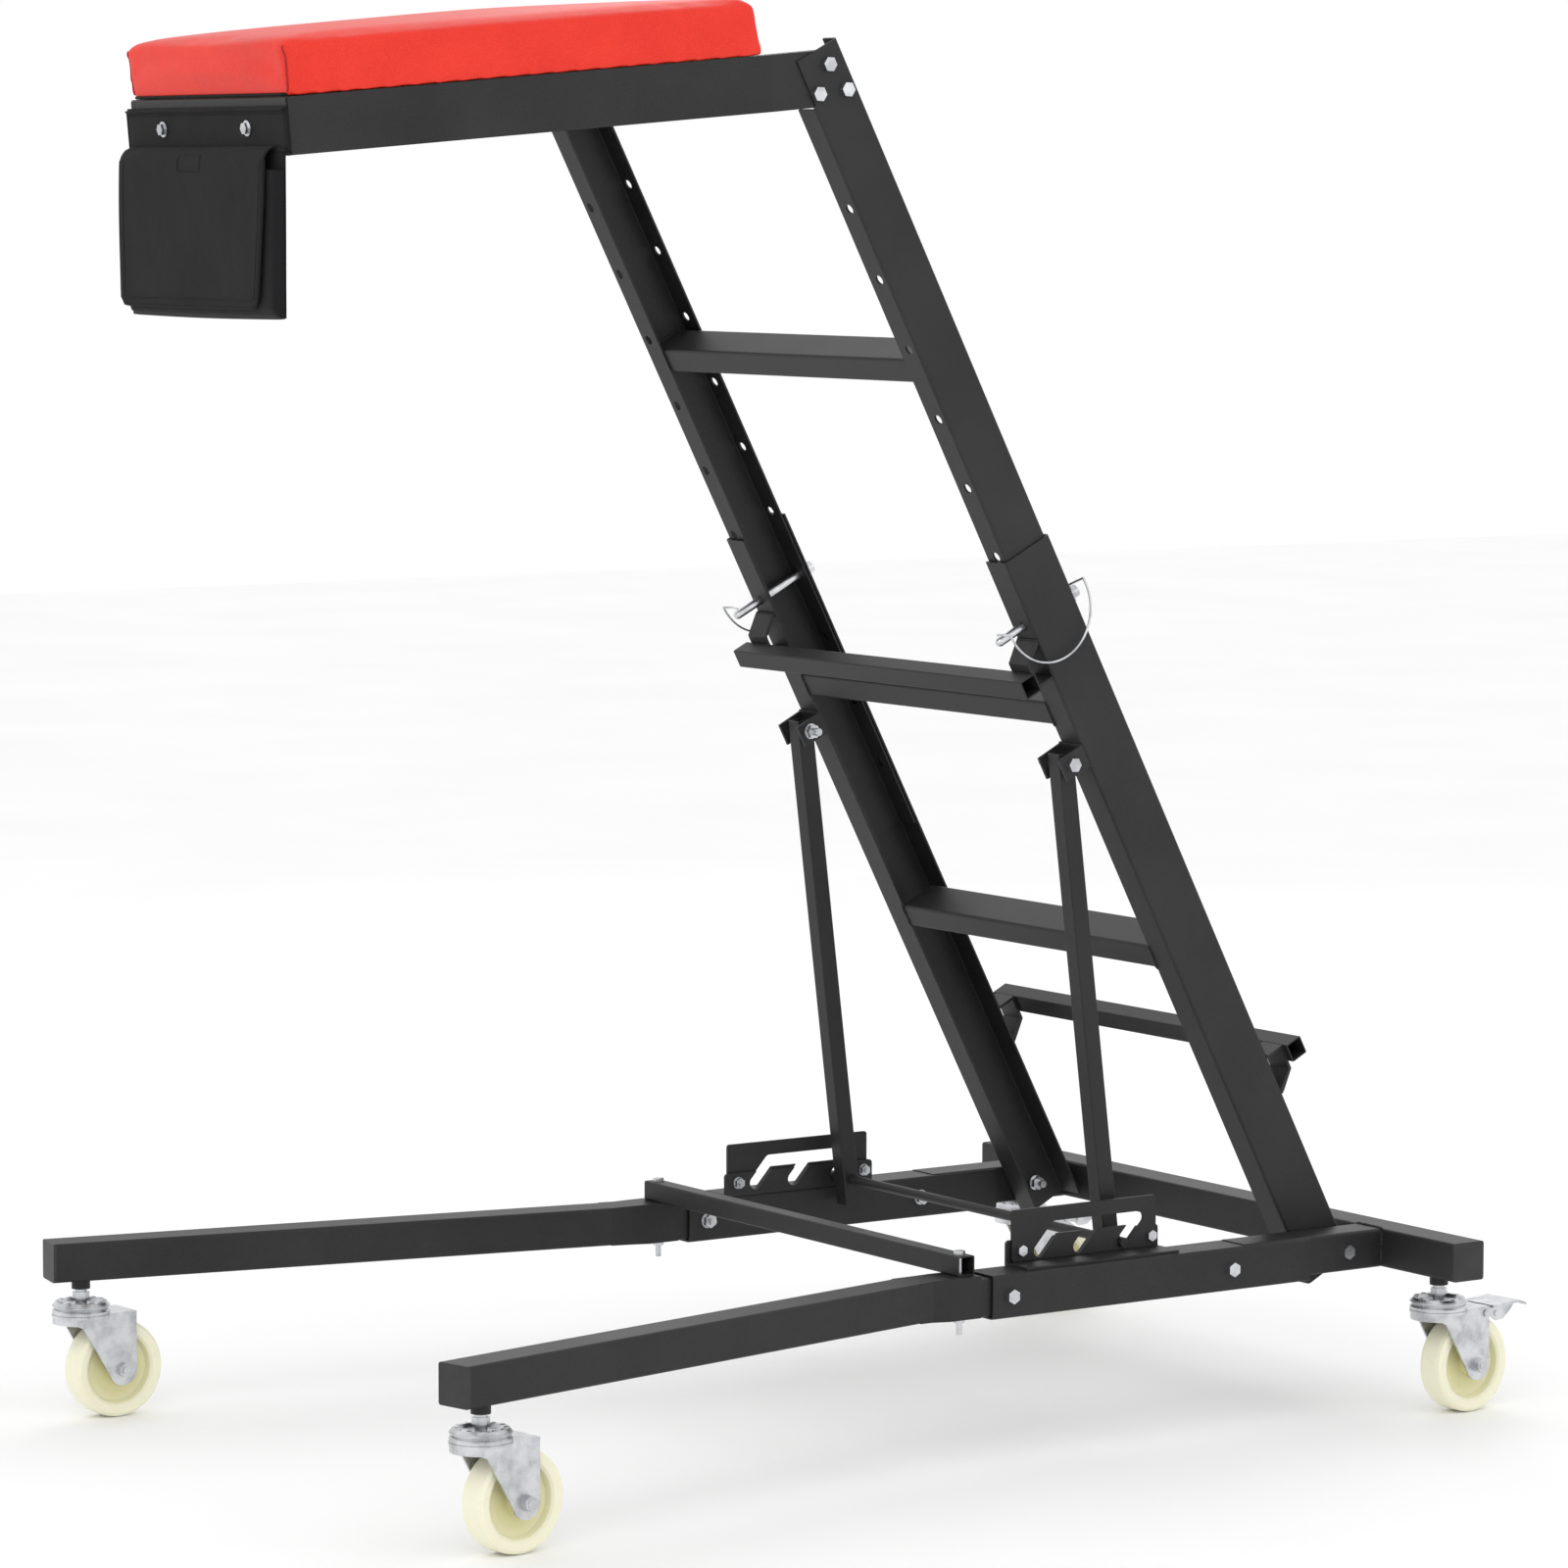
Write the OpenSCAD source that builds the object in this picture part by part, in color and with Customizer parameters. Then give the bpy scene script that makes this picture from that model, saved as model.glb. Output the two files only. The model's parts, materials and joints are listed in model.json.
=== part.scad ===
// Rolling topside creeper: a leaning two-section ladder on four casters that carries
// a padded deck out in front, so someone can lie over an engine bay.
// Front (the pad end) faces -Y, the object's left side is +X, up is +Z, in millimetres.

/* [Base] */
// Length of the rear cross tube
cross_len = 806; // [600:2:1000]
// Size of the square frame tube
tube = 40; // [30:1:50]
// Wall of the frame tube
tube_wall = 2; // [1.5:0.5:3]
// Height of the frame underside above the floor
frame_z = 145; // [130:1:170]
// Width between the inner faces of the side rails
rail_gap = 498; // [400:2:560]
// Length of a side rail
rail_len = 402; // [300:2:500]
// Distance from the back of the frame to the leg tips
leg_reach = 1220; // [1000:5:1400]
// Half spread of the leg tips
leg_spread = 396; // [320:1:450]
// Wheel diameter
wheel_d = 100; // [75:1:125]

/* [Ladder] */
// Lean of the ladder forward from upright, in degrees
lean = 27.5; // [20:0.5:35]
// Length of the lower stiles above the pivot
lower_len = 825; // [700:5:900]
// Length from the pivot to the top of the upper stiles
upper_top = 1372; // [1200:1:1500]
// Spacing of the height holes
hole_pitch = 77; // [60:1:90]
// Distance from the pivot to the pinned hole
pin_s = 753; // [700:1:780]

/* [Deck] */
// Rise of the deck toward the ladder, in degrees
deck_tilt = 5.2; // [0:0.1:10]
// Length of the deck frame ahead of the gusset
deck_len = 521; // [400:1:600]
// Half width of the deck frame at the front
deck_front = 150; // [120:1:240]
// Thickness of the pad
pad_th = 54; // [30:1:80]

/* [Bag] */
// Width of the tool bag
bag_w = 294; // [200:2:300]
// Depth of the bag below its header
bag_h = 160; // [100:2:200]

/* [Hidden] */
eps = 0.01;
back_y = 586.9;
rail_in = rail_gap / 2;
rail_w = 45;
rail_h = 44;
rail_z = frame_z - 5;
rail_x = rail_in + rail_w / 2;
rail_front = back_y - 537;
rail_back = rail_front + rail_len;
rail_cut = back_y - 219;
stub_len = 215;
stub_h = 36.5;
tube_r = 3;
bolt_z = frame_z + 17;
leg_bolt_y = back_y - 514.5;
stub_bolt_y = back_y - 237.5;
pivot_y = back_y - 85.5;
pivot_z = frame_z + 20;
bend_y = back_y - 616;
leg_ang = atan((leg_spread - rail_x) / (leg_reach - 616));
leg_len = (leg_reach - 616) / cos(leg_ang) - 14;
leg_tail_len = 112;
front_tube = 20;
front_tube_y = back_y - 562;
front_tube_len = 566;
cap_t = 3;
tab_run = 9;

// Fits: round running fit, and plain clearance between moving pieces
run = 0.1;
gap = 0.3;

chan_w = 33;
chan_d = 60;
chan_t = 2;
chan_r = 3;
low_x = rail_in - 1;
up_x = low_x - chan_t - 0.5;
up_w = 29;
up_d = 54;
hole_x = 232.5;
hole_d = 10;
low_start = -28;
up_start = 448;
flange_top = 1322;
holes_down = 3;
holes_up = 6;
deck_bolt_ts = [[6, 1354], [-17.5, 1334], [14, 1323]];
rung_h = 26;
rung_d = 45;
rung_mid_s = 638;
rung_low_s = 352;
rung_up_s = 1023;
step_tube = 20;
step_len = 508;
step_off = 22;
front_step_s = 704;
rear_step_s = 203;
strap_w = 31;
bracket_w = 36;
bracket_h = 24;
bracket_d = 32;

strut_tube = 19;
strut_x = 229.5;
strut_s = 606;
strut_t = -49;
rod_y = back_y - 348.5;
rod_z = frame_z + 50;
rod_d = 10;
strut_top_y = pivot_y - strut_s * sin(lean) + strut_t * cos(lean);
strut_top_z = pivot_z + strut_s * cos(lean) + strut_t * sin(lean);
strut_len = norm([strut_top_y - rod_y, strut_top_z - rod_z]);
strut_ang = atan((rod_y - strut_top_y) / (strut_top_z - rod_z));

plate_t = 3;
plate_len = 180;
plate_y = back_y - 486;
plate_z = rail_z + rail_h;
angle_len = 190;
angle_h = 25;
angle_w = 38;
notch_w = 13;
notch_dy = 20;
notch_dz = 22;
notch_at = [-104, -55, 0];
plate_bolt_at = [11, plate_len - 6.5];
plate_lift = 3.5;

pin_d = 9;
pin_front = 62;
pin_rear = 36;
wire_d = 2.4;
wire_r = 52;
wire_mid = -9;
wire_drop = 8;
wire_out = low_x - hole_x + 7;

deck_y = back_y - 724;
deck_z = 1326.7;
beam_w = 30;
beam_bend = 43;
rear_member_y = -75;
taper = atan((up_x - chan_t - deck_front) / (deck_len - beam_bend));
pad_front = -527;
pad_back = -46;
board_t = 12;
board_in = 12;
bag_bolt_x = 81;
bag_bolt_z = 26;
header_half = 153.5;
header_t = 3;

// Bag, hung plumb from the bottom of its header
bag_y = deck_y - (deck_len + header_t) * cos(deck_tilt) - 0.8;
bag_top = deck_z - (deck_len + header_t) * sin(deck_tilt) + 9;
bag_depth = 10.2;
bag_wall = 2.5;
flap_t = 2.2;
flap_drop = 150;
flap_y = bag_y - flap_t / 2 - 0.7;
flap_run = bag_depth + flap_t - 0.4;

caster_z = frame_z - 10;
trail = 37;
wheel_w = 30;
fork_w = 42;
fork_t = 2.5;
fork_half = fork_w / 2;
crown_z = 107;
stem_d = 12;
axle_d = 8;
sleeve_d = 10.6;
caster_x = 360;
leg_caster = 34;
swivel_fl = -7;
swivel_fr = 2;
swivel_rl = -5;
swivel_rr = -6;
brake_u = 48;
brake_z = 102.5;
brake_pin = 5;
m8_head = 13;
m6_head = 10;

nodes_base = ["rear_cross_tube", "rail_stubs", "side_rail_l", "side_rail_r", "front_leg_l",
    "front_leg_r", "tube_caps", "front_cross_tube", "rail_bolts", "small_frame_bolts",
    "lock_plate_l", "lock_plate_r", "lock_angle_l", "lock_angle_r",
    "ladder_pivot_bolts", "caster_bosses"];
nodes_ladder = ["lower_stile_l", "lower_stile_r", "lower_rungs", "front_step_bar",
    "rear_step_bar", "step_straps", "strut_bracket_l", "strut_bracket_r", "strut_bolts",
    "strut_l", "strut_r", "lock_rod", "upper_stile_l", "upper_stile_r", "upper_rung",
    "lock_pin_l", "lock_pin_r", "pin_wire_l", "pin_wire_r"];
nodes_deck = ["deck_beam_l", "deck_beam_r", "deck_front_member", "deck_rear_member",
    "deck_board", "deck_pad", "deck_bolts", "bag_header", "bag_pouch", "bag_flap", "bag_bolts"];
nodes_caster = ["caster_fork_fl", "caster_wheel_fl", "caster_axle_fl",
    "caster_fork_fr", "caster_wheel_fr", "caster_axle_fr",
    "caster_fork_rl", "caster_wheel_rl", "caster_axle_rl", "brake_pedal_rl",
    "caster_fork_rr", "caster_wheel_rr", "caster_axle_rr", "brake_pedal_rr"];

// ---- shared shapes ----
module flip(sd) mirror([sd < 0 ? 1 : 0, 0, 0]) children();

module rrect(w, h, r) {
    square([w - 2 * r, h], center = true);
    square([w, h - 2 * r], center = true);
    for (x = [-1, 1]) for (y = [-1, 1])
        translate([x * (w / 2 - r), y * (h / 2 - r)]) circle(r = r, $fn = 32);
}

module tube2d(w, h, t, r) {
    difference() {
        rrect(w, h, r);
        rrect(w - 2 * t, h - 2 * t, max(r - t, 0.8));
    }
}

// Channel with its web face on x = 0 and its flanges reaching toward -x
module chan2d(w, d, t, r) {
    intersection() {
        translate([-w, -d / 2]) square([w, d]);
        translate([-w, 0]) tube2d(2 * w, d, t, r);
    }
}

module hex(w, h) cylinder(d = w / cos(30), h = h, $fn = 6);

// Straight strips of half width r joining the points, with round ends
module track(p, r) for (i = [0:len(p) - 2]) {
    d = p[i + 1] - p[i];
    translate(p[i]) {
        circle(r = r, $fn = 48);
        rotate(atan2(d[1], d[0])) translate([0, -r]) square([norm(d), 2 * r]);
    }
    translate(p[i + 1]) circle(r = r, $fn = 48);
}

module lozenge(a, b, r) hull() for (p = [a, b]) translate(p) circle(r = r, $fn = 48);

// Cross hole or pin along x at [y, z]
module cross(d, y, z, half) translate([-half, y, z]) rotate([0, 90, 0])
    cylinder(d = d, h = 2 * half, $fn = 48);

// Hex bolt along +Z: head below z = 0, shank to len, nut and washer ending at grip
module bolt(d, head, grip, len) {
    translate([0, 0, -d * 0.65]) hex(head, d * 0.65);
    cylinder(d = d, h = len, $fn = 32);
    translate([0, 0, grip]) cylinder(d = head * 1.25, h = 1.2, $fn = 32);
    translate([0, 0, grip + 1.2]) hex(head, d * 0.75);
}

// Placed on the ladder: x across, y along its depth (rear +), z along the stiles
module on_ladder() translate([0, pivot_y, pivot_z]) rotate([lean, 0, 0]) children();

// Placed on the deck: y rearward along the beams, z up from their underside
module on_deck() translate([0, deck_y, deck_z]) rotate([deck_tilt, 0, 0]) children();

// Placed on the strut: z from the lock rod up to the bracket bolt
module on_strut() translate([0, rod_y, rod_z]) rotate([strut_ang, 0, 0]) children();

// ---- base ----
module rear_cross_tube() color("dimgray")
    difference() {
        translate([0, back_y - tube / 2, frame_z + tube / 2]) rotate([90, 0, 90])
            linear_extrude(cross_len, center = true) tube2d(tube, tube, tube_wall, tube_r);
        for (s = [-1, 1]) translate([s * caster_x, back_y - tube / 2, frame_z - 5])
            cylinder(d = stem_d + 2, h = 10, $fn = 32);
    }

module stub(sd) flip(sd)
    difference() {
        translate([rail_x, back_y - tube, frame_z + tube / 2]) rotate([90, 0, 0])
            linear_extrude(stub_len) tube2d(tube, tube, tube_wall, tube_r);
        translate([rail_x, pivot_y, pivot_z]) rotate([0, 90, 0])
            cylinder(d = 10, h = 60, center = true, $fn = 32);
        translate([rail_x, stub_bolt_y, bolt_z]) rotate([0, 90, 0])
            cylinder(d = 9, h = 60, center = true, $fn = 32);
        // Lowered where it enters the closed part of the rail
        translate([rail_x - tube, back_y - tube - stub_len - 1, frame_z + stub_h])
            cube([2 * tube, rail_cut + 1.3 - (back_y - tube - stub_len), tube]);
    }

module rail_stubs() color("dimgray") {
    stub(1);
    stub(-1);
}

module side_rail(sd) color("dimgray") flip(sd)
    difference() {
        translate([rail_x, rail_back, rail_z + rail_h / 2]) rotate([90, 0, 0])
            linear_extrude(rail_len) tube2d(rail_w, rail_h, 1.8, tube_r);
        // The roof is cut away over the stub
        translate([rail_x - rail_w / 2 + 1.8, rail_cut, rail_z + rail_h - 4])
            cube([rail_w - 3.6, rail_len, 10]);
        for (y = [leg_bolt_y, stub_bolt_y]) translate([rail_x, y, bolt_z]) rotate([0, 90, 0])
            cylinder(d = 9, h = 60, center = true, $fn = 32);
    }

module front_leg(sd) color("dimgray") flip(sd)
    difference() {
        union() {
            leg_run(tube, tube, tube_r);
            leg_neck();
            leg_tail(38, 38.5);
        }
        translate([rail_x, front_tube_y, frame_z - 5]) cylinder(d = 7, h = 60, $fn = 24);
        translate([rail_x, leg_bolt_y, bolt_z]) rotate([0, 90, 0])
            cylinder(d = 9, h = 60, center = true, $fn = 32);
        leg_tip(leg_caster) translate([0, 0, -5]) cylinder(d = stem_d + 2, h = 10, $fn = 32);
    }

// A spot q mm back from the leg tip on its underside, turned along the leg
module leg_tip(q) translate([leg_spread, back_y - leg_reach, frame_z]) rotate([0, 0, leg_ang])
    translate([0, q, 0]) children();

module leg_run(w, h, r) leg_tip(cap_t) translate([0, 0, h / 2]) rotate([-90, 0, 0])
    linear_extrude(leg_len) tube2d(w, h, tube_wall, r);

// Pressed neck where the leg turns parallel to the rail, level on top for the cross tube
module leg_neck() {
    hull() {
        leg_tip(leg_len + cap_t - 1) translate([-tube / 2, 0, 0]) cube([tube, 1, tube]);
        neck_slice(9, 36, 1);
    }
    hull() {
        neck_slice(9, 36, 1);
        neck_slice(30, 39, 2);
    }
    hull() {
        neck_slice(30, 39, 2);
        neck_slice(66, 39, 2);
    }
}

// Full-height slice of the neck, y behind the bend, w wide, reaching d below the leg
module neck_slice(y, w, d) translate([rail_x - w / 2, bend_y + y, frame_z - d])
    cube([w, 1, tube + d]);

module leg_tail(w, h) translate([rail_x, bend_y + 30, frame_z - 2 + h / 2]) rotate([-90, 0, 0])
    linear_extrude(leg_tail_len) tube2d(w, h, tube_wall, tube_r);

module tube_caps() color("black") {
    for (sd = [-1, 1]) flip(sd) {
        leg_tip(0) translate([0, 0, tube / 2]) rotate([-90, 0, 0]) {
            linear_extrude(cap_t) rrect(tube, tube, tube_r);
            linear_extrude(cap_t + tab_run) rrect(tube - 5, tube - 5, 2);
        }
        translate([cross_len / 2, back_y - tube / 2, frame_z + tube / 2]) rotate([90, 0, 90]) {
            linear_extrude(cap_t) rrect(tube, tube, tube_r);
            translate([0, 0, -tab_run]) linear_extrude(tab_run + eps)
                rrect(tube - 5, tube - 5, 2);
        }
    }
}

module front_cross_tube() color("dimgray")
    difference() {
        translate([0, front_tube_y, frame_z + tube + front_tube / 2]) rotate([90, 0, 90])
            linear_extrude(front_tube_len, center = true)
            tube2d(front_tube, front_tube, 1.5, 2);
        for (s = [-1, 1]) translate([s * rail_x, front_tube_y, frame_z])
            cylinder(d = 7, h = 90, $fn = 24);
    }

module rail_bolts() color("silver")
    for (sd = [-1, 1]) flip(sd) for (y = [leg_bolt_y, stub_bolt_y])
        translate([rail_in + rail_w, y, bolt_z]) rotate([0, -90, 0])
            bolt(8, m8_head, rail_w, rail_w + 12);

// Front cross tube bolts and the bolts that hold the lock plates
module small_frame_bolts() color("silver") {
    for (s = [-1, 1]) translate([s * rail_x, front_tube_y, frame_z + tube + front_tube])
        rotate([180, 0, 0]) bolt(6, m6_head, tube + front_tube + 2.2, tube + front_tube + 20);
    for (sd = [-1, 1]) flip(sd) for (y = plate_bolt_at)
        translate([rail_in + 4 + plate_t, plate_y + y, plate_z + 14.5]) rotate([0, -90, 0])
            bolt(6, m6_head, 2 * plate_t, 2 * plate_t + 9);
}

// The closed slot: a channel along the top with three slanted notches below it
module lock_slot(w) {
    slope = [notch_dy, notch_dz];
    seat = [rod_y - plate_y, rod_z - plate_z + (w - rod_d) / 2 - gap];
    for (y = notch_at) lozenge(seat + [y, 0], seat + [y, 0] + slope, w / 2);
    lozenge(seat + [notch_at[0], 0] + slope, seat + slope, w / 2);
}

module lock_plate(sd) color("dimgray") flip(sd)
    translate([rail_in + 4, plate_y, plate_z + plate_lift]) rotate([90, 0, 90])
    linear_extrude(plate_t) difference() {
        translate([plate_len / 2, 26]) rrect(plate_len, 52, 3);
        translate([0, -plate_lift]) lock_slot(notch_w);
        for (y = plate_bolt_at) translate([y, 11]) circle(d = 7, $fn = 32);
    }

module lock_angle(sd) color("dimgray") flip(sd) {
    translate([rail_in + 1, plate_y - 5, plate_z]) rotate([90, 0, 90])
        linear_extrude(plate_t) difference() {
            translate([angle_len / 2, angle_h / 2 - 1])
                intersection() {
                    rrect(angle_len, angle_h + 2, 4);
                    translate([-angle_len, -angle_h / 2 + 1]) square([2 * angle_len, angle_h]);
                }
            translate([5, 0]) lock_slot(notch_w + 1);
            for (y = plate_bolt_at) translate([y + 5, 11 + plate_lift]) circle(d = 7, $fn = 32);
        }
    translate([rail_in + 1, plate_y - 5, plate_z]) cube([angle_w, angle_len, plate_t]);
}

module ladder_pivot_bolts() color("silver")
    for (sd = [-1, 1]) flip(sd) {
        translate([rail_x + tube / 2, pivot_y, pivot_z]) rotate([0, -90, 0])
            bolt(8, m8_head, tube + 4 + chan_t + 0.6, tube + 22);
        // Spacer between the stub and the stile
        translate([low_x + gap, pivot_y, pivot_z]) rotate([0, 90, 0])
            cylinder(d = 18, h = rail_x - tube / 2 - low_x - gap, $fn = 48);
    }

module boss() difference() {
    cylinder(d = 19, h = 10, $fn = 48);
    translate([0, 0, -1]) cylinder(d = stem_d + run, h = 12, $fn = 48);
}

module caster_bosses() color("black") for (sd = [-1, 1]) flip(sd) {
    leg_tip(leg_caster) translate([0, 0, -10]) boss();
    translate([caster_x, back_y - tube / 2, caster_z]) boss();
}

// ---- lower ladder ----
module lower_stile(sd) color("dimgray") flip(sd) on_ladder()
    difference() {
        translate([low_x, 0, low_start]) linear_extrude(lower_len - low_start)
            chan2d(chan_w, chan_d, chan_t, chan_r);
        translate([hole_x, 0, pin_s]) rotate([90, 0, 0])
            cylinder(d = hole_d, h = 2 * chan_d, center = true, $fn = 32);
        rotate([0, 90, 0]) cylinder(d = 8 + run, h = 2 * low_x, $fn = 48);
    }

module rung(half, t0, s0) translate([0, t0 + rung_d / 2, s0 + rung_h / 2]) rotate([90, 0, 90])
    linear_extrude(2 * half, center = true) tube2d(rung_d, rung_h, 1.5, 3);

module lower_rungs() color("dimgray") on_ladder()
    for (s = [rung_mid_s, rung_low_s]) rung(low_x - chan_w, -chan_d / 2, s);

module step_bar(t, s) on_ladder() translate([0, t, s]) rotate([90, 0, 90])
    linear_extrude(step_len, center = true) tube2d(step_tube, step_tube, 1.5, 1.5);

module front_step_bar() color("dimgray")
    step_bar(-chan_d / 2 - step_off - step_tube / 2, front_step_s);

module rear_step_bar() color("dimgray")
    step_bar(chan_d / 2 + step_off + step_tube / 2, rear_step_s);

// Bent strap standing a step bar off the stile; up = 1 puts the slanted leg above
module strap(t0, s0, out, up) {
    a = step_off;
    b = step_tube / 2;
    translate([low_x - strap_w - 1, 0, 0]) rotate([90, 0, 90]) linear_extrude(strap_w)
        polygon([[t0, s0 - up * b], [t0 + out * a, s0 - up * b],
            [t0 + out * a, s0 + up * (b + 8)], [t0 + out * 3, s0 + up * (b + 24)],
            [t0, s0 + up * (b + 24)], [t0, s0 + up * (b + 20)],
            [t0 + out * (a - 3), s0 + up * (b + 6.5)], [t0 + out * (a - 3), s0 - up * (b - 3)],
            [t0, s0 - up * (b - 3)]]);
}

module step_straps() color("dimgray") on_ladder() for (sd = [-1, 1]) flip(sd) {
    strap(-chan_d / 2, front_step_s, -1, 1);
    strap(chan_d / 2, rear_step_s, 1, -1);
}

module strut_bracket(sd) color("dimgray") flip(sd) on_ladder()
    difference() {
        translate([low_x - bracket_w, -chan_d / 2 - bracket_d, strut_s - bracket_h / 2])
            cube([bracket_w, bracket_d, bracket_h]);
        translate([low_x - bracket_w + 3, -chan_d / 2 - bracket_d - 1, strut_s - bracket_h])
            cube([bracket_w - 6, bracket_d - 2, 2 * bracket_h]);
        translate([0, strut_t, strut_s]) rotate([0, 90, 0])
            cylinder(d = 9, h = 2 * low_x, $fn = 32);
    }

module strut_bolts() color("silver") on_ladder() for (sd = [-1, 1]) flip(sd) {
    translate([low_x, strut_t, strut_s]) rotate([0, -90, 0])
        bolt(8, m8_head, bracket_w, bracket_w + 16);
    // Spacer sleeves either side of the strut
    for (x = [low_x - bracket_w + 3.2, strut_x + strut_tube / 2 + 0.4])
        translate([x, strut_t, strut_s]) rotate([0, 90, 0]) cylinder(d = 12, h = 4.6, $fn = 32);
}

// ---- strut frame ----
module strut(sd) color("dimgray") flip(sd) on_strut()
    difference() {
        translate([strut_x, 0, -27]) linear_extrude(strut_len + 38)
            tube2d(strut_tube, strut_tube, 1.5, 1.5);
        translate([0, 0, strut_len]) rotate([0, 90, 0]) cylinder(d = 8 + run, h = 400, $fn = 48);
        rotate([0, 90, 0]) cylinder(d = rod_d + 0.2, h = 400, $fn = 32);
    }

module lock_rod() color("dimgray") on_strut() rotate([0, 90, 0]) {
    cylinder(d = rod_d, h = 2 * (rail_in + 11), center = true, $fn = 48);
    // Stop collars inside the lock plates
    for (s = [-1, 1]) translate([0, 0, s * (strut_x + strut_tube / 2 + 2.6)])
        cylinder(d = 15, h = 5, center = true, $fn = 48);
}

// ---- upper ladder ----
module upper_stile(sd) color("dimgray") flip(sd) on_ladder()
    difference() {
        translate([up_x, 0, up_start]) linear_extrude(upper_top - up_start)
            chan2d(up_w, up_d, chan_t, chan_r);
        // The front flange stops short so that the deck beam can pass
        translate([up_x - up_w - 1, -up_d / 2 - 1, flange_top])
            cube([up_w - chan_t + 1, up_d / 2, upper_top]);
        translate([up_x - up_w, -up_d / 2 - 1, flange_top + 3])
            cube([up_w + 1, chan_t + 1.5, upper_top]);
        translate([up_x - up_w, up_d / 2 - 8, upper_top - 8]) cube([up_w - chan_t - 20, 10, 10]);
        for (k = [-holes_down:holes_up]) translate([hole_x, 0, pin_s + k * hole_pitch])
            rotate([90, 0, 0]) cylinder(d = hole_d, h = 2 * up_d, center = true, $fn = 32);
        deck_bolt_holes(9);
    }

module deck_bolt_holes(d) for (p = deck_bolt_ts)
    translate([up_x - 20, p[0], p[1]]) rotate([0, 90, 0]) cylinder(d = d, h = 40, $fn = 32);

module upper_rung() color("dimgray") on_ladder()
    rung(up_x - chan_t, -up_d / 2 + chan_t, rung_up_s);

// ---- pins ----
module lock_pin(sd) color("silver") flip(sd) on_ladder() translate([hole_x, 0, pin_s])
    difference() {
        rotate([90, 0, 0]) union() {
            translate([0, 0, -pin_rear]) cylinder(d = pin_d, h = pin_rear + pin_front, $fn = 48);
            translate([0, 0, pin_front - eps]) cylinder(d1 = pin_d, d2 = 6, h = 3, $fn = 48);
            translate([0, 0, -pin_rear - 7]) cylinder(d = 13, h = 10, $fn = 48);
        }
        translate([0, pin_rear + 2, 0]) cylinder(d = 3.2, h = 30, center = true, $fn = 24);
    }

// Bent wire from the pin head, out past the stile web and round to the pin tip
module pin_wire(sd) color("silver") flip(sd) on_ladder() translate([hole_x, 0, pin_s]) {
    eye = [0, pin_rear + 2, 9];
    tip = [7, 2 - pin_front, 8];
    // The round bow beside the web
    translate([wire_out, wire_mid, wire_drop]) rotate([90, 0, 90]) rotate([0, 0, 180])
        rotate_extrude(angle = 180, $fn = 96) translate([wire_r, 0]) circle(d = wire_d, $fn = 16);
    // Rear limb up to the head and through it
    wire_run([wire_out, wire_mid + wire_r, wire_drop - eps],
        [wire_out, wire_mid + wire_r, wire_drop + 7.5]);
    wire_run([wire_out, wire_mid + wire_r, wire_drop + 7.5], eye);
    wire_run(eye, [eye[0], eye[1], -eye[2]]);
    // Front limb across to an open crook that clips over the tip
    wire_run([wire_out, wire_mid - wire_r, wire_drop - 0.5], tip);
    wire_run(tip, [-1.5, tip[1], 6.8]);
}

module wire_run(a, b) {
    v = b - a;
    h = norm(v);
    translate(a) rotate([0, acos(v[2] / h), atan2(v[1], v[0])]) {
        cylinder(d = wire_d, h = h, $fn = 16);
        for (z = [0, h]) translate([0, 0, z]) sphere(d = wire_d + 0.1, $fn = 16);
    }
}

// ---- deck ----
// Plan of a side beam, its web g in from the outer face, w wide, from back to front
module beam_plan(g, w, back, front) {
    xb = up_x - chan_t;
    xf = xb + (front + beam_bend) * tan(taper);
    polygon([[xb - g, back], [xb - g, -beam_bend], [xf - g, front], [xf - w, front],
        [xb - w, -beam_bend], [xb - w, back]]);
}

// Half width inside the beam webs at y, less a clearance
function inside(y) = up_x - 2 * chan_t + (y + beam_bend) * tan(taper) - gap;

module deck_beam(sd) color("dimgray") flip(sd)
    difference() {
        on_deck() difference() {
            linear_extrude(up_d) beam_plan(0, beam_w, 70, chan_t - deck_len);
            translate([0, 0, chan_t]) linear_extrude(up_d - 2 * chan_t)
                beam_plan(chan_t, beam_w + 5, 80, -deck_len - 20);
        }
        // Trimmed along the rear flange of the stile
        on_ladder() translate([0, up_d / 2 - chan_t - gap, 1200]) cube([400, 200, 400]);
        on_ladder() deck_bolt_holes(9);
    }

// Its web caps the beam ends, and its flanges stop between the beams' flanges
module deck_front_member() color("dimgray") on_deck()
    difference() {
        translate([0, -deck_len, up_d / 2]) rotate([90, 0, 90])
            linear_extrude(2 * deck_front - 2, center = true)
            mirror([1, 0]) chan2d(beam_w, up_d, chan_t, chan_r);
        for (sd = [-1, 1]) flip(sd)
            translate([inside(-deck_len) + chan_t - beam_w, chan_t - deck_len, -1])
            cube([beam_w + 20, beam_w, up_d + 2]);
        bag_holes();
    }

module bag_holes() for (x = [-1, 1]) translate([x * bag_bolt_x, -deck_len, bag_bolt_z])
    rotate([90, 0, 0]) cylinder(d = 6.6, h = 40, center = true, $fn = 24);

module deck_rear_member() color("dimgray") on_deck()
    translate([0, rear_member_y, up_d / 2]) rotate([90, 0, 90])
    linear_extrude(2 * inside(rear_member_y - beam_w), center = true)
    chan2d(beam_w, up_d - 2 * (chan_t + gap), chan_t, chan_r);

// Outline of the pad seen from above, drawn in by g all round, corners of radius r
module pad2d(g, r) {
    wf = deck_front + 2 - g - r;
    wb = wf + (pad_back - pad_front) * tan(taper);
    yf = pad_front + g + r;
    yb = pad_back - g - r;
    hull() for (p = [[-wf, yf], [wf, yf], [wb, yb], [-wb, yb]])
        translate(p) circle(r = r, $fn = 48);
}

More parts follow.
